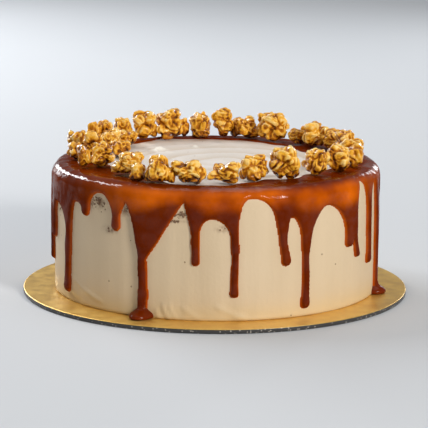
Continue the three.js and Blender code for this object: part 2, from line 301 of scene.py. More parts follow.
def waves(angle, seed, counts, size):
    """A ripple round the cake: a sum of sines, so many waves to the turn each."""
    rng = np.random.default_rng(seed)
    total = np.zeros_like(angle)
    for count in counts:
        total += np.sin(count * angle + rng.uniform(0, 2 * math.pi)) / math.sqrt(len(counts))
    return total * size


# ---------------------------------------------------------------- frosting


def scraped_side(angle, height):
    """How far the side stands out: long waves from a scraper that was drawn round upright."""
    broad = waves(angle, 3, (3, 5, 8), 0.28 * MM)
    fine = waves(angle, 4, (17, 29, 43, 61), 0.1 * MM)
    lean = waves(angle + height * 1.5, 5, (12, 19), 0.08 * MM)
    return broad + fine + lean


def knife_turn(x, y):
    """The palette knife's spiral over the top: how far its lines wander, how high the frosting
    stands along it, from 0 in its groove to 1, and how much of it shows."""
    radius = np.hypot(x, y)
    angle = np.arctan2(y, x)
    wander = waves(angle, 6, (2, 3), 1.6 * MM)
    turns = (radius + wander) / SWIRL_PITCH + angle / (2 * math.pi)
    phase = turns - np.floor(turns)
    rise = np.where(phase < 0.8, phase / 0.8, (1 - phase) / 0.2)
    fade = smoothstep(4 * MM, 14 * MM, radius) * (1 - smoothstep(62 * MM, 80 * MM, radius))
    return wander, smoothstep(0, 1, rise), fade


# Flicks of frosting that the knife left standing on the top: where each one is, how long, wide
# and high it is, in millimetres, and the way it points in degrees.
TOP_FLICKS = [
    (-38, 46, 4.6, 1.7, 2.8, 20),
    (-41, 41, 3.2, 1.4, 1.8, -50),
    (-14, 60, 2.0, 1.4, 1.8, 0),
    (-50, 30, 6.0, 1.4, 0.9, 60),
    (-33, 33, 5.0, 1.3, 0.8, 10),
]


def flicks(x, y):
    """How far the flicks stand up above the spread top."""
    up = np.zeros_like(x)
    for at_x, at_y, long, wide, high, turn in TOP_FLICKS:
        way = math.radians(turn)
        along = (x / MM - at_x) * math.cos(way) + (y / MM - at_y) * math.sin(way)
        across = (y / MM - at_y) * math.cos(way) - (x / MM - at_x) * math.sin(way)
        up = np.maximum(up, high * MM * np.exp(-((along / long) ** 2) - (across / wide) ** 2))
    return up


def spread_top(x, y):
    """Height of the frosting above the flat top: the knife's spiral, fine lines and flicks."""
    radius = np.hypot(x, y) / MM
    wander, rise, fade = knife_turn(x, y)
    wander = wander / MM
    lines = np.sin((radius + wander * 1.4) * 2.1) + np.sin((radius + wander * 2) * 3.7 + 1.3)
    return (-SWIRL_DEPTH * (1 - rise) + 0.09 * MM * lines) * fade + flicks(x, y)


# Strokes of frosting that stand up or sink in: where they start and end on the side, as
# degrees and height in millimetres, how wide they are and how far they stand out.
SIDE_STROKES = [
    ((-107.5, 13), (-104.5, 2.5), 1.3, 0.9),
    ((-105.5, 14), (-102.3, 3), 1.0, 0.7),
    ((-110, 9), (-107.5, 2.5), 1.2, 0.8),
    ((-101, 12), (-94, 4), 1.1, 0.5),
    ((-90, 13), (-79, 5), 1.6, 0.5),
    ((-84, 6), (-70, 3), 1.2, 0.45),
    ((-150, 21), (-131, 8), 0.9, 0.9),
    ((-153, 14), (-147, 8), 0.8, 0.6),
    ((-151, 9), (-143, 4), 2.2, -0.8),
]
STROKE_BOW = 1.2 * MM  # how far the middle of a stroke lies beside the line between its ends


def strokes(angle, height):
    """How far the strokes stand out of the scraped side."""
    out = np.zeros_like(angle)
    for (start_angle, start_height), (end_angle, end_height), width, depth in SIDE_STROKES:
        x0 = math.radians(start_angle) * CAKE_RADIUS
        x1 = math.radians(end_angle) * CAKE_RADIUS
        y0 = start_height * MM
        y1 = end_height * MM
        x = angle * CAKE_RADIUS
        length = math.hypot(x1 - x0, y1 - y0)
        along = ((x - x0) * (x1 - x0) + (height - y0) * (y1 - y0)) / length**2
        across = ((x - x0) * (y1 - y0) - (height - y0) * (x1 - x0)) / length
        bend = np.sin(np.clip(along, 0, 1) * math.pi) * STROKE_BOW
        fade = smoothstep(-0.08, 0.12, along) * (1 - smoothstep(0.8, 1.05, along))
        out += depth * MM * fade * np.exp(-(((across - bend) / (width * MM)) ** 2))
    return out


# Patches of crumbs that show in the frosting under the arches: degrees, height in
# millimetres, how far they spread to each side and how many there are.
CRUMB_PATCHES = [
    ((-134, 72.5), (4.4, 3.4), 55),
    ((-139, 69), (2.6, 2.2), 14),
    ((-121.6, 70), (1.8, 3.2), 18),
    ((-101.2, 70), (3.6, 1.8), 40),
    ((-104, 65.5), (3.0, 0.9), 10),
    ((-87, 61.5), (2.2, 1.6), 4),
    ((-160, 60), (1.6, 2), 4),
    ((-128, 56), (2.4, 1.6), 3),
]


def crumb_stain(angle, height):
    """How much crumb has been smeared into the frosting, from 0 to 1."""
    stain = np.zeros_like(angle)
    for (at, level), (wide, tall), _ in CRUMB_PATCHES:
        across = (np.degrees(angle) - at) / wide
        up = (height / MM - level) / tall
        stain = np.maximum(stain, np.exp(-0.7 * (across**2 + up**2)))
    return stain


def frosting_depth(angle, along):
    """How far the frosting stands out of the plain form, so far up the side and over the top."""
    on_side = 1 - smoothstep(SHOULDER_BASE, SHOULDER_END, along)
    return (scraped_side(angle, along) + strokes(angle, along)) * on_side


FOOT_CHAMFER = 0.8 * MM
FROSTING_STEPS = 480  # round the cake
SIDE_ROW = 1.4 * MM  # from one row of the mesh to the next, up the side
TOP_ROW = 1.3 * MM
BACK_LEFT = math.radians(125)


def build_frosting(finish):
    """The cake's plain form with the scraper's waves, the strokes and the knife's spiral in it."""
    side_rows = even_steps(BOARD_TOP + FOOT_CHAMFER, SHOULDER_BASE, SIDE_ROW)
    shoulder_rows = even_steps(SHOULDER_BASE, SHOULDER_END, SIDE_ROW)[1:]
    side = [over_frosting(s, 0) for s in side_rows]
    shoulder = [over_frosting(s, 0) for s in shoulder_rows]
    top = [(radius, CAKE_TOP) for radius in even_steps(SHOULDER_START, 0, TOP_ROW)[1:]]
    underside = [(0, BOARD_TOP), (CAKE_RADIUS * 0.6, BOARD_TOP), (CAKE_RADIUS - FOOT_CHAMFER, BOARD_TOP)]
    bm = spun(underside + side + shoulder + top, FROSTING_STEPS)
    points = coordinates(bm)
    x, y, z = points.T
    radius = np.hypot(x, y)
    angle = np.arctan2(y, x)
    along = way_up(radius, z)
    out = frosting_depth(angle, along) * smoothstep(0.5, 0.9, radius / CAKE_RADIUS)
    out = np.where(z <= BOARD_TOP + 1e-6, 0, out)
    grown = (radius + out) / np.maximum(radius, TINY)
    is_top = radius < SHOULDER_START + 1e-6
    points[:, 2] += np.where(is_top & (z > SHOULDER_BASE), spread_top(x, y), 0)
    points[:, 0] *= grown
    points[:, 1] *= grown
    move_to(bm, points)

    # A tan tint in from the caramel's edge, strongest at the back left, and a painted shadow behind each
    # flick. The flicks' own mask is kept too, for the painted light on them.
    _, rise, fade = knife_turn(x, y)
    from_caramel = eased_along(TOP_EDGE, np.degrees(angle)) * MM - radius
    towards_back_left = 0.3 + 0.7 * smoothstep(0.2, 0.9, np.cos(angle - BACK_LEFT))
    edge_tint = (1 - smoothstep(1 * MM, 15 * MM, from_caramel)) * towards_back_left * is_top
    flick = np.clip(flicks(x, y) / (1.5 * MM), 0, 1) * is_top
    flick_shadow = np.clip(flicks(x + 2 * MM, y - 5 * MM) / (1.2 * MM), 0, 1) * is_top
    keep_values(bm, "flick", flick)
    keep_values(bm, "groove", (1 - rise) * fade * is_top)
    # The edge tint carries the painted shadow behind the flicks as well.
    keep_values(bm, "edge_tint", np.maximum(edge_tint, flick_shadow * 0.9) * (1 - flick))
    keep_values(bm, "stain", crumb_stain(angle, along) * ~is_top)
    piece = new_piece("frosting", bm, finish)
    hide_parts("frosted_cake")
    return piece


# ---------------------------------------------------------------- caramel


def half_width(drip, arch, height):
    """How far a drip reaches to one side of its middle, at a height. All in metres."""
    angle, tip, stem, neck, _ = drip
    arch_angle, arch_height, bow = arch
    reach = abs(math.radians(arch_angle - angle)) * CAKE_RADIUS
    tip, stem, neck, arch_height = tip * MM, stem * MM, neck * MM, arch_height * MM
    climbed = np.clip((height - neck) / (arch_height - neck), 0, 1)
    opened = 1 - (1 - climbed**bow) ** (1 / bow)
    bead = stem * BEAD_SWELL
    above_tip = np.clip((height - tip) / bead, 0, 1)
    rounding = np.sqrt(1 - (1 - above_tip) ** 2)
    body = stem + (bead - stem) * (1 - smoothstep(tip + bead, tip + BEAD_HEIGHT * bead, height))
    waver = 1 + 0.07 * np.sin(height / MM / 5.3 + angle) + 0.05 * np.sin(height / MM / 2.9 + 2 * angle)
    body = body * rounding * waver
    return np.where(height < tip, 0, body + (reach - body) * opened)


def drip_middle(drip, height):
    """How far the middle of a drip lies to the right of its angle: its lean and its wander."""
    angle, tip, _, neck, lean = drip
    above_tip = smoothstep(tip * MM, (tip + 15) * MM, height)
    below_neck = 1 - smoothstep((neck - 8) * MM, (neck + 4) * MM, height)
    wander = 0.45 * MM * np.sin(height / MM / 9 + angle * 2.3) * above_tip * below_neck
    leaning = 1 - smoothstep(tip * MM, (neck + LEAN_ABOVE_NECK) * MM, height)
    return wander + lean * MM * leaning


def drip_outline(drip, left, right):
    """Points along the edge of one drip, from each arch round its tip: (angle, height)."""
    angle, tip = drip[0], drip[1] * MM
    points = []
    for side, arch in ((-1, left), (1, right)):
        top = arch[1] * MM
        heights = np.concatenate([
            tip + np.linspace(0, 1, 14) ** 2 * 4 * MM,
            np.linspace(tip + 4 * MM, top, 90),
            top - np.linspace(0, 1, 40) ** 2 * 3 * MM,
        ])
        across = side * half_width(drip, arch, heights) + drip_middle(drip, heights)
        points.append(np.column_stack([math.radians(angle) + across / CAKE_RADIUS, heights]))
    return np.concatenate(points)


def inside_drip(drip, left, right, angle, along):
    """Whether each point lies in the drip, up to the arch on each side of it."""
    across = (angle - math.radians(drip[0])) * CAKE_RADIUS - drip_middle(drip, along)
    to_left = -across <= half_width(drip, left, along)
    to_right = across <= half_width(drip, right, along)
    return np.where(across < 0, to_left, to_right) & (along > drip[1] * MM)


def distance_from_lower_edge(angle, along):
    """How far each point lies inside the caramel's lower edge, and negative outside it."""
    turn = 2 * math.pi
    inside = np.zeros(len(angle), bool)
    for drip, left, right in MAIN_DRIPS:
        low, high = math.radians(left[0]), math.radians(right[0])
        for shift in (-turn, 0, turn):
            here = (angle + shift >= low) & (angle + shift < high)
            inside[here] |= inside_drip(drip, left, right, angle[here] + shift, along[here])
    near_side = np.abs(angle - math.radians(SIDE_DRIP[0][0])) < math.radians(8)
    inside[near_side] |= inside_drip(*SIDE_DRIP, angle[near_side], along[near_side])

    # The side drip's outline and its neighbour's count only where neither is inside the other.
    neighbour = MAIN_DRIPS[SIDE_DRIP_NEIGHBOUR]
    outlines = [drip_outline(*one) for one in MAIN_DRIPS + [SIDE_DRIP]]
    for index, other in ((-1, neighbour), (SIDE_DRIP_NEIGHBOUR, SIDE_DRIP)):
        line = outlines[index]
        outlines[index] = line[~inside_drip(*other, line[:, 0], line[:, 1])]
    line = np.concatenate(outlines)
    spots = np.concatenate([line + (shift, 0) for shift in (-turn, 0, turn)])
    tree = KDTree(len(spots))
    for index, (a, height) in enumerate(spots):
        tree.insert((a * CAKE_RADIUS, height, 0), index)
    tree.balance()
    distance = np.array([tree.find((a * CAKE_RADIUS, s, 0))[2] for a, s in zip(angle, along)])
    return np.where(inside, distance, -distance)


def poured_thickness(angle, along, from_edge):
    """How thick the caramel is: more on a drip and at its bead, less on the sheet."""
    on_stem = 1 - smoothstep(50 * MM, 78 * MM, along)
    on_top = smoothstep(SHOULDER_BASE + 2 * MM, SHOULDER_END + 4 * MM, along)
    full = SHEET_THICKNESS + (STEM_THICKNESS - SHEET_THICKNESS) * on_stem
    full = full + (FILM_THICKNESS - SHEET_THICKNESS) * on_top
    full = full + waves(angle, 8, (9, 14, 23, 37), 0.2 * MM) * (1 - on_stem) * (1 - 0.6 * on_top)
    near = np.clip(from_edge / (EDGE_ROUNDING * (1 - 0.4 * on_top)), 0, 1)
    rounded = np.sqrt(1 - (1 - near) ** 2)
    return np.where(from_edge > 0, full * rounded, -SUNK * np.clip(-from_edge / MM, 0, 1))


CARAMEL_STEPS = 720  # round the cake
CARAMEL_ROW = 0.9 * MM  # from one row of the mesh to the next
INNER_END = 70 * MM  # radius on the top where the mesh ends, inside the caramel's edge
CUT_AWAY = 1.1 * MM  # faces this far outside the caramel's edge are left out


def build_caramel(finish):
    """The sheet, its drips and the pools: a fine skin over the frosting, raised where it is wet."""
    last_row = SHOULDER_END + SHOULDER_START - INNER_END
    rows = even_steps(BOARD_TOP + 0.4 * MM, last_row, CARAMEL_ROW)
    bm = spun([over_frosting(s, 0) for s in rows], CARAMEL_STEPS)
    x, y, z = coordinates(bm).T
    angle = np.arctan2(y, x)
    radius = np.hypot(x, y)
    on_flat = radius < SHOULDER_START - 1e-7
    along = np.where(on_flat, SHOULDER_END + SHOULDER_START - radius, way_up(radius, z))

    below = distance_from_lower_edge(angle, along)
    edge = eased_along(TOP_EDGE, np.degrees(angle)) * MM + waves(angle, 9, (11, 19, 31), 1.1 * MM)
    above = SHOULDER_END + SHOULDER_START - edge - along
    from_edge = np.minimum(below, above)
    thickness = poured_thickness(angle, along, from_edge)
    depth = thickness + frosting_depth(angle, along)
    out_radius, out_height = over_frosting(along, depth)
    points = np.column_stack([out_radius * np.cos(angle), out_radius * np.sin(angle), out_height])
    move_to(bm, points)

    keep_values(bm, "thickness", thickness / STEM_THICKNESS)
    keep_values(bm, "up_the_side", along / SHOULDER_END)
    dry = [face for face in bm.faces if all(from_edge[v.index] < -CUT_AWAY for v in face.verts)]
    bmesh.ops.delete(bm, geom=dry, context="FACES")
    bmesh.ops.solidify(bm, geom=list(bm.faces), thickness=SKIN)
    for pool_angle, reach in POOLS:
        add_pool(bm, math.radians(pool_angle), reach)
    piece = new_piece("caramel", bm, finish)
    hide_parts("caramel_drip")
    return piece


def add_pool(bm, angle, reach):
    """The pool where a drip has run out on the board: a bell that narrows to the stem."""
    bell = spun([(radius * MM, height * MM) for radius, height in POOL_PROFILE], 40)
    bmesh.ops.subdivide_edges(bell, edges=bell.edges, cuts=1, use_grid_fill=True, smooth=0.6)
    points = coordinates(bell)
    run_out = (reach / POOL_RADIUS - 1) * (1 - smoothstep(2 * MM, 7 * MM, points[:, 2]))
    points[:, 0] *= np.where(points[:, 0] > 0, 1 + run_out, 1)
    move_to(bell, points)
    foot = Matrix.Translation((CAKE_RADIUS, 0, BOARD_TOP + 0.05 * MM))
    place = Matrix.Rotation(angle, 4, "Z") @ foot
    bmesh.ops.transform(bell, matrix=place, verts=bell.verts)
    mesh = bpy.data.meshes.new("pool")
    bell.to_mesh(mesh)
    bell.free()
    before = set(bm.verts)
    bm.from_mesh(mesh)
    for vert in set(bm.verts) - before:
        vert[bm.verts.layers.float["thickness"]] = 1
        vert[bm.verts.layers.float["up_the_side"]] = 0.05
    bpy.data.meshes.remove(mesh)


# ---------------------------------------------------------------- popcorn


def ball_reaches(directions, centres, radii):
    """How far out each ball reaches in each direction, 0 where the direction misses it."""
    along = directions @ centres.T
    inside = radii**2 - (centres**2).sum(1) + along**2
    return np.where(inside > 0, along + np.sqrt(np.maximum(inside, 0)), 0)


GOLDEN_ANGLE = 2.399963


def even_directions(count, rng):
    """Directions that are spread evenly all round, and then moved a little each."""
    index = np.arange(count) + 0.5
    rise = 1 - 2 * index / count
    turn = index * GOLDEN_ANGLE + rng.uniform(0, 2 * math.pi)
    flat = np.sqrt(1 - rise**2)
    spots = np.column_stack([flat * np.cos(turn), flat * np.sin(turn), rise])
    spots += rng.normal(0, 0.3, spots.shape)
    return spots / np.linalg.norm(spots, axis=1, keepdims=True)


FOLD_WAVES = 9  # sines that are added up for the folds of a kernel


def bends(directions, rng, pace):
    """A smooth random bend for each direction, about -1 to 1 each way."""
    total = np.zeros_like(directions)
    for _ in range(3):
        total += np.sin(directions @ rng.normal(0, pace, (3, 3)) + rng.uniform(0, 2 * math.pi, 3))
    return total / 2


def folds(directions, rng, pace):
    """Round lumps with sharp creases between them, from 0 in a crease to about 1."""
    ways = even_directions(FOLD_WAVES, rng) * pace * rng.uniform(0.7, 1.3, FOLD_WAVES)[:, None]
    total = np.sin(directions @ ways.T + rng.uniform(0, 2 * math.pi, FOLD_WAVES)).sum(1)
    return np.abs(total) / math.sqrt(FOLD_WAVES)


def puffs(reach_to, rng, count, radius, span):
    """Balls set into a surface: reach_to gives how far it lies in any directions."""
    ways = even_directions(count, rng)
    radii = radius * rng.uniform(*span, count)
    centres = ways * (reach_to(ways) - radii * rng.uniform(0.45, 0.9, count))[:, None]
    return centres, radii


def blurred(values, ends, times):
    """Each vertex's value averaged with its neighbours', some times over. ends pairs them."""
    degree = np.bincount(ends[0], minlength=len(values))
    for _ in range(times):
        values = np.bincount(ends[0], values[ends[1]], minlength=len(values)) / degree
    return values


FINE_ABOVE = 12 * MM  # a kernel wider than this gets a finer mesh
COMMON_WIDTH = 20 * MM  # the width of kernel that the paces of the folds are for
PUFF_RADIUS = 3.9 * MM
PUFFS_PER_MM = 0.6  # of the kernel's width
BEND = 0.16  # how far the puffs are bent, as a share of the distance from the middle
CORE = 0.87  # how far the solid's own outline fills in between the puffs
COARSE_PACE, MIDDLE_PACE, FINE_PACE = 8, 15, 34  # how close together the folds are
COARSE_FOLD, MIDDLE_FOLD, FINE_FOLD = 1.1 * MM, 0.7 * MM, 0.25 * MM  # and how deep
CLEAR_OF_KERNEL = 50 * MM  # from a kernel's middle
FIRST_KERNEL_SEED = 100


def build_kernel(node, seed, finish):
    """One popped kernel: bent puffs over the solid's own outline, crumpled at three scales."""
    rng = np.random.default_rng(seed)
    solid = bmesh.new()
    solid.from_mesh(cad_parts[node].data)
    bmesh.ops.remove_doubles(solid, verts=solid.verts, dist=1e-6)
    tree = BVHTree.FromBMesh(solid)
    solid.free()
    low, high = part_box(node)
    middle = (low + high) / 2
    size = ((high.x - low.x) + (high.y - low.y)) / 2
    is_wide = size > FINE_ABOVE

    def solid_reach(ways):
        """How far the solid reaches from its middle in each direction."""
        found = []
        for way in ways:
            outside = middle + Vector(way) * CLEAR_OF_KERNEL
            hit = tree.ray_cast(outside, -Vector(way))[0]
            found.append((hit - middle).length if hit else size * 0.4)
        return np.array(found)

    bm = bmesh.new()
    bmesh.ops.create_icosphere(bm, subdivisions=6 if is_wide else 5, radius=1)
    directions = coordinates(bm)
    one_way = np.array([[vert.index for vert in edge.verts] for edge in bm.edges]).T
    ends = np.concatenate([one_way, one_way[::-1]], axis=1)
    fineness = 4 if is_wide else 1  # a finer mesh is blurred more times to the same width

    base = blurred(solid_reach(directions), ends, 2 * fineness)
    scale = size / COMMON_WIDTH
    bent = directions + BEND * bends(directions, rng, 3.2 * scale)
    bent /= np.linalg.norm(bent, axis=1, keepdims=True)
    count = round(size / MM * PUFFS_PER_MM)
    centres, radii = puffs(solid_reach, rng, count, PUFF_RADIUS, (0.7, 1.3))
    reach = np.maximum(ball_reaches(bent, centres, radii).max(1), base * CORE)
    lumps = folds(bent, rng, COARSE_PACE * scale) * COARSE_FOLD
    lumps += folds(bent, rng, FINE_PACE * scale) * FINE_FOLD
    lumps -= folds(bent, rng, MIDDLE_PACE * scale) * MIDDLE_FOLD
    reach = blurred(reach + lumps, ends, 1)
    standing_out = (reach - blurred(reach, ends, 4 * fineness)) / MM

    # Its shape is squared a little, and then fitted to the solid's own box.
    reach = reach / (np.abs(directions) ** 3).sum(1) ** (1 / 3)
    points = directions * reach[:, None] + np.array(middle)
    lowest, highest = points.min(0), points.max(0)
    points = (points - lowest) / (highest - lowest) * np.array(high - low) + np.array(low)
    move_to(bm, points)
    # The popcorn's material paints shade into the creases and light onto the folds from this.
    keep_values(bm, "crease_shade", smoothstep(-0.6, 0.6, standing_out))  # 0 in a crease, 1 on a fold
    piece = new_piece("glazed_" + node, bm, finish)
    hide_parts(node)
    return piece


# ---------------------------------------------------------------- board and crumbs


BOARD_SEGMENTS = 256
BOARD_EDGE_ROUNDING = 0.6 * MM
CRUMB_SIZES = (0.25, 0.75)  # the smallest and the largest, in millimetres


def build_board(finish):
    """A flat disc with a small round on both its edges."""
    bm = bmesh.new()
    bmesh.ops.create_circle(bm, cap_ends=True, segments=BOARD_SEGMENTS, radius=BOARD_RADIUS)
    made = bmesh.ops.extrude_face_region(bm, geom=list(bm.faces))
    raised = [item for item in made["geom"] if isinstance(item, bmesh.types.BMVert)]
    bmesh.ops.translate(bm, verts=raised, vec=(0, 0, BOARD_TOP))
    rims = [edge for edge in bm.edges if abs(edge.verts[0].co.z - edge.verts[1].co.z) < 1e-7]
    bmesh.ops.bevel(
        bm,
        geom=rims,
        offset=BOARD_EDGE_ROUNDING,
        offset_type="OFFSET",
        segments=3,
        profile=0.5,
        affect="EDGES",
        material=-1,
    )
    bmesh.ops.recalc_face_normals(bm, faces=bm.faces)
    piece = new_piece("foil_board", bm, finish)
    flats = [face for face in piece.data.polygons if abs(face.normal.z) > 0.99]
    for face in flats:
        face.use_smooth = False
    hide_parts("cake_board")
    return piece


def build_crumbs(finish):
    """Grains of sponge that stand half out of the frosting, in each patch."""
    rng = np.random.default_rng(21)
    bm = bmesh.new()
    for (angle, height), (wide, tall), count in CRUMB_PATCHES:
        for _ in range(count):
            a = math.radians(angle + rng.normal(0, wide * 0.5))
            h = (height + rng.normal(0, tall * 0.5)) * MM
            radius, level = over_frosting(np.array(h), np.array(0.0))
            out = float(radius) + float(frosting_depth(np.array([a]), np.array([h]))[0])
            grain = rng.uniform(*CRUMB_SIZES) * MM
            place = Matrix.Translation((out * math.cos(a), out * math.sin(a), float(level)))
            stretch = Matrix.Diagonal((*(grain * rng.uniform(0.6, 1.3, 3)), 1))
            spin = Matrix.Rotation(rng.uniform(0, 6), 4, Vector(rng.normal(0, 1, 3)).normalized())
            bmesh.ops.create_icosphere(bm, subdivisions=1, radius=1, matrix=place @ spin @ stretch)
    piece = new_piece("crumbs", bm, finish)
    return piece


# ---------------------------------------------------------------- finishes


class Finish:
    """A material with its Principled shader, and short calls for the nodes that feed it."""

    def __init__(self, name, **sockets):
        self.material = bpy.data.materials.new(name)
        self.material.use_nodes = True
        self.tree = self.material.node_tree
        self.shader = self.tree.nodes["Principled BSDF"]
        for socket, value in sockets.items():
            self.shader.inputs[socket.replace("_", " ")].default_value = value
        self.place = self.add("ShaderNodeTexCoord").outputs["Object"]

    def add(self, kind, inputs=(), **settings):
        node = self.tree.nodes.new(kind)
        for name, value in settings.items():
            setattr(node, name, value)
        for socket, value in dict(inputs).items():
            if isinstance(value, bpy.types.NodeSocket):
                self.tree.links.new(value, node.inputs[socket])
            else:
                node.inputs[socket].default_value = value
        return node

    def feed(self, socket, value):
        self.tree.links.new(value, self.shader.inputs[socket])

    def stretched(self, x, y, z):
        inputs = {"Vector": self.place, "Scale": (x, y, z)}
        return self.add("ShaderNodeMapping", inputs).outputs["Vector"]

    def axis(self, name):
        return self.add("ShaderNodeSeparateXYZ", {0: self.place}).outputs[name]

    def attribute(self, name):
        return self.add("ShaderNodeAttribute", attribute_name=name).outputs["Fac"]

    def blend(self, share, first, second):
        inputs = {0: share, 6: first, 7: second}  # 6 and 7 are the Mix node's two colours
        return self.add("ShaderNodeMix", inputs, data_type="RGBA").outputs[2]

    def level(self, value, low, high, to_low=0.0, to_high=1.0):
        """Eases from to_low to to_high while the value goes from low to high."""
        ends = {"From Min": low, "From Max": high, "To Min": to_low, "To Max": to_high}
        inputs = {"Value": value, **ends}
        return self.add("ShaderNodeMapRange", inputs, interpolation_type="SMOOTHSTEP").outputs["Result"]

    def plus(self, first, second):
        return self.add("ShaderNodeMath", {0: first, 1: second}, operation="ADD").outputs[0]

    def minus(self, first, second):
        return self.add("ShaderNodeMath", {0: first, 1: second}, operation="SUBTRACT").outputs[0]

    def times(self, first, second):
        return self.add("ShaderNodeMath", {0: first, 1: second}, operation="MULTIPLY").outputs[0]

    def greater(self, first, second):
        return self.add("ShaderNodeMath", {0: first, 1: second}, operation="MAXIMUM").outputs[0]

    def noise(self, scale, detail, vector=None):
        inputs = {"Vector": vector or self.place, "Scale": scale, "Detail": detail}
        return self.add("ShaderNodeTexNoise", inputs).outputs[0]

    def mottling(self, scale, detail, contrast, vector=None):
        inputs = {"Vector": vector or self.place, "Scale": scale, "Detail": detail, "Contrast": contrast}
        return self.add("ShaderNodeGroup", inputs, node_tree=GROUPS["mottling"]).outputs[0]

    def specks(self, scale, size, share):
        inputs = {"Vector": self.place, "Scale": scale, "Size": size, "Share": share}
        return self.add("ShaderNodeGroup", inputs, node_tree=GROUPS["specks"]).outputs[0]

    def facing(self, blend):
        """From 0 where the surface is seen square on to 1 where it turns away."""
        return self.add("ShaderNodeLayerWeight", {"Blend": blend}).outputs["Facing"]

    def bump(self, height, depth):
        return self.add("ShaderNodeBump", {"Height": height, "Distance": depth}).outputs["Normal"]


GROUPS = {}


def shader_group(name, sockets, output):
    """An empty node group with these inputs and one output, and its two end nodes."""
    tree = bpy.data.node_groups.new(name, "ShaderNodeTree")
    for socket, kind, value in sockets:
        made = tree.interface.new_socket(socket, in_out="INPUT", socket_type=kind)
        if value is not None:
            made.default_value = value
    tree.interface.new_socket(output, in_out="OUTPUT", socket_type="NodeSocketFloat")
    GROUPS[name] = tree
    return tree, tree.nodes.new("NodeGroupInput"), tree.nodes.new("NodeGroupOutput")


def make_mottling():
    """Soft uneven patches, from 0 to 1."""
    sockets = [
        ("Vector", "NodeSocketVector", None),
        ("Scale", "NodeSocketFloat", 30.0),
        ("Detail", "NodeSocketFloat", 4.0),
        ("Contrast", "NodeSocketFloat", 0.2),
    ]
    tree, given, result = shader_group("mottling", sockets, "Patches")
    noise = tree.nodes.new("ShaderNodeTexNoise")
    low = tree.nodes.new("ShaderNodeMath")
    high = tree.nodes.new("ShaderNodeMath")
    spread = tree.nodes.new("ShaderNodeMapRange")
    low.operation, high.operation = "SUBTRACT", "ADD"
    low.inputs[0].default_value = high.inputs[0].default_value = 0.5
    for socket in ("Vector", "Scale", "Detail"):
        tree.links.new(given.outputs[socket], noise.inputs[socket])
    tree.links.new(given.outputs["Contrast"], low.inputs[1])
    tree.links.new(given.outputs["Contrast"], high.inputs[1])
    tree.links.new(noise.outputs[0], spread.inputs["Value"])
    tree.links.new(low.outputs[0], spread.inputs["From Min"])
    tree.links.new(high.outputs[0], spread.inputs["From Max"])
    tree.links.new(spread.outputs["Result"], result.inputs[0])


def make_specks():
    """Small round specks with bare ground between them: 1 in a speck, 0 outside."""
    sockets = [
        ("Vector", "NodeSocketVector", None),
        ("Scale", "NodeSocketFloat", 300.0),
        ("Size", "NodeSocketFloat", 0.15),
        ("Share", "NodeSocketFloat", 0.1),
    ]
    tree, given, result = shader_group("specks", sockets, "Specks")
    cells = tree.nodes.new("ShaderNodeTexVoronoi")
    near = tree.nodes.new("ShaderNodeMath")
    chosen = tree.nodes.new("ShaderNodeMath")
    both = tree.nodes.new("ShaderNodeMath")
    split = tree.nodes.new("ShaderNodeSeparateColor")
    near.operation = chosen.operation = "LESS_THAN"
    both.operation = "MULTIPLY"
    tree.links.new(given.outputs["Vector"], cells.inputs["Vector"])
    tree.links.new(given.outputs["Scale"], cells.inputs["Scale"])
    tree.links.new(cells.outputs["Distance"], near.inputs[0])
    tree.links.new(given.outputs["Size"], near.inputs[1])
    tree.links.new(cells.outputs["Color"], split.inputs[0])
    tree.links.new(split.outputs[0], chosen.inputs[0])
    tree.links.new(given.outputs["Share"], chosen.inputs[1])
    tree.links.new(near.outputs[0], both.inputs[0])
    tree.links.new(chosen.outputs[0], both.inputs[1])
    tree.links.new(both.outputs[0], result.inputs[0])


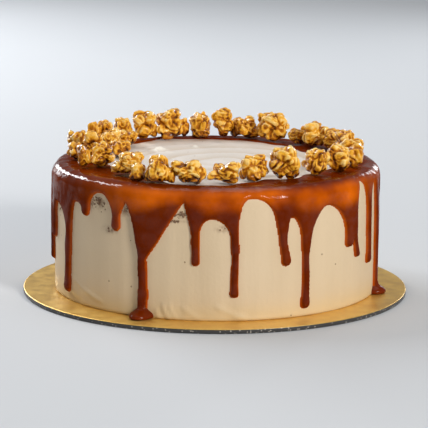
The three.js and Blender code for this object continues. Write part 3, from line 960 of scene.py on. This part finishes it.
def frosting_finish():
    look = Finish("buttercream", Roughness=0.52)
    height = look.axis("Z")
    clouds = look.mottling(26, 4, 0.25)

    # The side: tan buttercream with upright streaks, stained by crumbs, and warmed at its foot by a
    # painted reflection of the gold board.
    streaks = look.mottling(55, 3, 0.3, look.stretched(1, 1, 0.06))
    tan = look.blend(streaks, (0.7, 0.543, 0.345, 1), (0.62, 0.468, 0.285, 1))
    tan = look.blend(look.times(clouds, 0.35), tan, (0.76, 0.59, 0.4, 1))
    # Painted reflection: the foot is tinted gold, as the board would reflect into it.
    board_reflection = look.level(height, BOARD_TOP + 1 * MM, BOARD_TOP + 15 * MM, 0.32, 0.0)
    tan = look.blend(board_reflection, tan, (0.68, 0.5, 0.23, 1))
    smeared = look.level(look.mottling(330, 5, 0.12), 0.0, 1.0, 0.15, 0.95)
    tan = look.blend(look.times(look.attribute("stain"), smeared), tan, (0.25, 0.14, 0.07, 1))

    # The top: the same buttercream painted paler, as if lit brightly from above, with painted shade
    # along the knife's groove, a tan tint towards the caramel's edge, painted shadow behind the flicks
    # and painted light on them.
    lit_cream = look.blend(clouds, (0.72, 0.66, 0.59, 1), (0.83, 0.78, 0.73, 1))
    # Painted shade: darker along the knife's groove, where the frosting dips.
    lit_cream = look.blend(look.times(look.attribute("groove"), 0.45), lit_cream, (0.55, 0.44, 0.32, 1))
    tint_patches = look.level(look.mottling(75, 4, 0.15), 0.0, 1.0, 0.15, 0.8)
    # The tan tint towards the caramel's edge, with the painted shadow behind each flick.
    lit_cream = look.blend(look.times(look.attribute("edge_tint"), tint_patches), lit_cream, (0.68, 0.5, 0.34, 1))
    # Painted light: the flicks are whitened, as if they catch more light than the top round them.
    lit_cream = look.blend(look.attribute("flick"), lit_cream, (0.95, 0.9, 0.8, 1))

    on_top = look.level(height, CAKE_TOP - 2.5 * MM, CAKE_TOP - 0.6 * MM)
    # Pits: dents in the bump, darkened with painted shade.
    pits = look.specks(210, 0.13, 0.09)
    # Painted light: the top takes the paler lit colour, the side the tan.
    ground = look.blend(on_top, tan, lit_cream)
    look.feed("Base Color", look.blend(look.times(pits, 0.75), ground, (0.2, 0.11, 0.05, 1)))

    grain = look.noise(420, 4)
    drawn = look.noise(170, 3, look.stretched(1, 1, 0.1))
    relief = look.plus(look.times(grain, 0.35), look.times(drawn, 0.6))
    relief = look.minus(relief, look.times(pits, 0.8))
    look.feed("Normal", look.bump(relief, 0.35 * MM))
    return look.material


def caramel_finish():
    look = Finish("caramel", Roughness=0.25, Specular_IOR_Level=0.0, Coat_Roughness=0.11)
    thick = look.attribute("thickness")
    up = look.attribute("up_the_side")  # 1 where the rounded top edge meets the flat top
    across = look.axis("X")
    clouds = look.mottling(38, 3, 0.22)

    # Painted light: an amber glow, as of light through the caramel, in a band below the top edge, faded
    # out towards the left and the right. Along the thin rims the lighter amber is partly the thin
    # caramel's own colour and partly painted glow.
    uneven = look.plus(up, look.level(look.mottling(17, 2, 0.15), 0.0, 1.0, -0.05, 0.05))
    glow_band = look.times(look.level(uneven, 0.77, 0.88), look.level(up, 0.9, 0.96, 1.0, 0.0))
    glow_band = look.times(glow_band, look.level(clouds, 0.0, 1.0, 0.4, 1.0))
    glow_band = look.times(glow_band, look.level(across, -0.085, -0.035, 0.1, 1.0))
    glow_band = look.times(glow_band, look.level(across, 0.08, 0.1, 1.0, 0.4))
    thin_rim_and_glow = look.times(look.level(thick, 0.15, 0.8, 0.5, 0.0), look.level(up, 0.88, 0.96, 1.0, 0.15))
    deep = look.blend(clouds, (0.105, 0.01, 0.0004, 1), (0.17, 0.021, 0.0006, 1))
    amber = look.blend(clouds, (0.54, 0.075, 0.0008, 1), (0.76, 0.145, 0.0015, 1))
    look.feed("Base Color", look.blend(look.greater(glow_band, thin_rim_and_glow), deep, amber))

    # It is wettest over the rounded top edge, and in patches on the side.
    patchy = look.mottling(130, 4, 0.12)
    on_side = look.level(look.facing(0.35), 0.35, 0.95, 0.3, 0.5)
    on_side = look.times(on_side, look.level(patchy, 0.0, 1.0, 0.2, 1.0))
    over_edge = look.times(look.level(up, 0.865, 0.925), look.level(patchy, 0.0, 1.0, 0.4, 0.9))
    over_edge = look.times(over_edge, look.level(up, 0.97, 1.03, 1.0, 0.25))
    in_pool = look.level(up, 0.07, 0.14, 0.3, 0.0)
    look.feed("Coat Weight", look.greater(look.greater(on_side, over_edge), in_pool))

    relief = look.plus(look.noise(120, 3), look.times(look.noise(700, 2), 0.16))
    bumped = look.bump(relief, 0.7 * MM)
    look.feed("Normal", bumped)
    look.feed("Coat Normal", bumped)
    return look.material


def popcorn_finish():
    look = Finish("caramel_corn", Roughness=0.25, Specular_IOR_Level=0.1, Coat_Roughness=0.08)
    crease_shade = look.level(look.attribute("crease_shade"), 0.0, 1.0, 0.12, 0.82)
    patches = look.level(look.mottling(260, 5, 0.2), 0.0, 1.0, -0.2, 0.2)
    broad = look.level(look.mottling(95, 3, 0.15), 0.0, 1.0, -0.22, 0.22)
    # Painted shade at the foot, together with the darker pooled glaze.
    foot = look.level(look.axis("Z"), CAKE_TOP + 0.5 * MM, CAKE_TOP + 8 * MM, -0.75, 0.08)

    # Painted shade and light: the glaze is darkened in the creases and lightened on the folds that stand
    # out, and darkened at the foot, partly as shade where the kernel sits and partly as glaze that has
    # pooled there. It goes through gold to pale popcorn on the lightest folds, where the glaze is also
    # thin.
    tone = look.plus(look.plus(look.plus(crease_shade, patches), broad), foot)
    glaze = look.blend(look.level(tone, -0.2, 0.35), (0.06, 0.012, 0.0006, 1), (0.45, 0.14, 0.004, 1))
    glaze = look.blend(look.level(tone, 0.25, 0.75), glaze, (0.88, 0.43, 0.03, 1))
    glaze = look.blend(look.level(tone, 0.68, 1.12), glaze, (0.97, 0.66, 0.2, 1))
    look.feed("Base Color", glaze)
    look.feed("Coat Weight", look.level(look.facing(0.4), 0.05, 0.7, 0.22, 1.0))
    look.feed("Normal", look.bump(look.noise(520, 3), 0.8 * MM))
    return look.material


def board_finish():
    look = Finish("gold_foil", Metallic=0.0, Coat_Weight=0.2, Coat_Roughness=0.25)
    on_top = look.level(look.axis("Z"), BOARD_TOP - 0.5 * MM, BOARD_TOP - 0.15 * MM)
    brushed = look.mottling(160, 5, 0.25)
    gold = look.blend(brushed, (0.78, 0.46, 0.08, 1), (0.93, 0.63, 0.17, 1))
    chipped = look.blend(look.specks(900, 0.4, 0.18), (0.035, 0.032, 0.03, 1), (0.4, 0.36, 0.3, 1))
    look.feed("Base Color", look.blend(on_top, chipped, gold))
    look.feed("Metallic", look.times(on_top, 0.75))
    look.feed("Roughness", look.level(brushed, 0.0, 1.0, 0.36, 0.5))
    look.feed("Normal", look.bump(look.noise(260, 3), 0.12 * MM))
    return look.material


def crumb_finish():
    look = Finish("sponge_crumb", Roughness=0.8)
    tone = look.mottling(600, 3, 0.25)
    look.feed("Base Color", look.blend(tone, (0.14, 0.075, 0.04, 1), (0.3, 0.18, 0.1, 1)))
    look.feed("Normal", look.bump(look.noise(2500, 3), 0.2 * MM))
    return look.material


# ---------------------------------------------------------------- studio


def build_floor():
    bm = bmesh.new()
    bmesh.ops.create_grid(bm, x_segments=2, y_segments=2, size=6)
    mesh = bpy.data.meshes.new("floor")
    bm.to_mesh(mesh)
    bm.free()
    floor = bpy.data.objects.new("floor", mesh)
    floor.location.z = -0.05 * MM
    bpy.context.scene.collection.objects.link(floor)
    look = Finish("pale_floor", Roughness=0.9)
    soft = look.mottling(1.5, 2, 0.4)
    look.feed("Base Color", look.blend(soft, (0.59, 0.61, 0.63, 1), (0.62, 0.635, 0.655, 1)))
    mesh.materials.append(look.material)


def area_light(name, at, aim, size, power, colour, lean=0):
    """A rectangle of light that faces aim, leaned over by so many degrees."""
    light = bpy.data.lights.new(name, "AREA")
    light.shape = "RECTANGLE"
    light.size, light.size_y = size
    light.energy = power
    light.color = colour
    lamp = bpy.data.objects.new(name, light)
    facing = (Vector(aim) - Vector(at)).to_track_quat("-Z", "Y").to_matrix().to_4x4()
    lamp.matrix_world = Matrix.Translation(at) @ facing @ Matrix.Rotation(math.radians(lean), 4, "Z")
    bpy.context.scene.collection.objects.link(lamp)


# The lamps' colours, and how far one of them is leaned over.
DAYLIGHT = (0.95, 0.97, 1.0)
LAMPLIGHT = (1.0, 0.98, 0.95)
CEILING_LIGHT = (1.0, 0.99, 0.97)
SKY = (0.9, 0.92, 0.95, 1)
SKY_STRENGTH = 0.29
WINDOW_LEAN = 47  # so that the streak it leaves runs along the cake's rounded top edge


def build_studio():
    """Five soft lamps and an even sky. Each lamp is aimed at a height on the cake's axis."""
    foot = (0, 0, 0.04)
    side = (0, 0, 0.05)
    top_edge = (0, 0, 0.06)
    top = (0, 0, 0.08)
    area_light("window_behind", (-1.1, 1.15, 1.05), top_edge, (2.0, 0.2), 27, DAYLIGHT, WINDOW_LEAN)
    area_light("low_left", (-1.15, 1.6, 0.35), foot, (0.4, 0.4), 3, DAYLIGHT)
    area_light("low_right", (0.8, 1.55, 0.45), foot, (0.2, 0.5), 3.5, DAYLIGHT)
    area_light("front_key", (1.5, -1.95, 1.1), side, (0.5, 0.4), 48, LAMPLIGHT)
    area_light("overhead", (0.1, 0.3, 1.9), top, (1.4, 1.4), 7.6, CEILING_LIGHT)
    world = bpy.data.worlds.new("studio")
    world.use_nodes = True
    background = world.node_tree.nodes["Background"]
    background.inputs["Color"].default_value = SKY
    background.inputs["Strength"].default_value = SKY_STRENGTH
    bpy.context.scene.world = world
    bpy.context.scene.view_settings.view_transform = "Standard"


CAMERA_DISTANCE = 1.5
CAMERA_ELEVATION = math.radians(10.99)
CAMERA_AIM = Vector((-0.83 * MM, 0, 50.28 * MM))
CAMERA_ROLL = math.radians(0.45)
FOCAL_PIXELS = 2263  # of the photograph's 428 pixels of width
PHOTO_WIDTH = 428
SENSOR_WIDTH = 36


def build_camera():
    """The photograph's own view: a long lens in front, a little above and a little rolled."""
    lens = bpy.data.cameras.new("photo_view")
    lens.sensor_width = SENSOR_WIDTH
    lens.lens = SENSOR_WIDTH * FOCAL_PIXELS / PHOTO_WIDTH
    camera = bpy.data.objects.new("photo_view", lens)
    away = Vector((0, -math.cos(CAMERA_ELEVATION), math.sin(CAMERA_ELEVATION))) * CAMERA_DISTANCE
    tilt = Matrix.Rotation(math.pi / 2 - CAMERA_ELEVATION, 4, "X")
    turn = tilt @ Matrix.Rotation(CAMERA_ROLL, 4, "Z")
    camera.matrix_world = Matrix.Translation(CAMERA_AIM + away) @ turn
    bpy.context.scene.collection.objects.link(camera)
    bpy.context.scene.camera = camera


# ---------------------------------------------------------------- the cake

make_mottling()
make_specks()
build_camera()
build_floor()
build_studio()
build_board(board_finish())
build_frosting(frosting_finish())
build_caramel(caramel_finish())
build_crumbs(crumb_finish())
corn = popcorn_finish()
for seed, node in enumerate(sorted(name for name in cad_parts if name.startswith("popcorn_"))):
    build_kernel(node, seed + FIRST_KERNEL_SEED, corn)
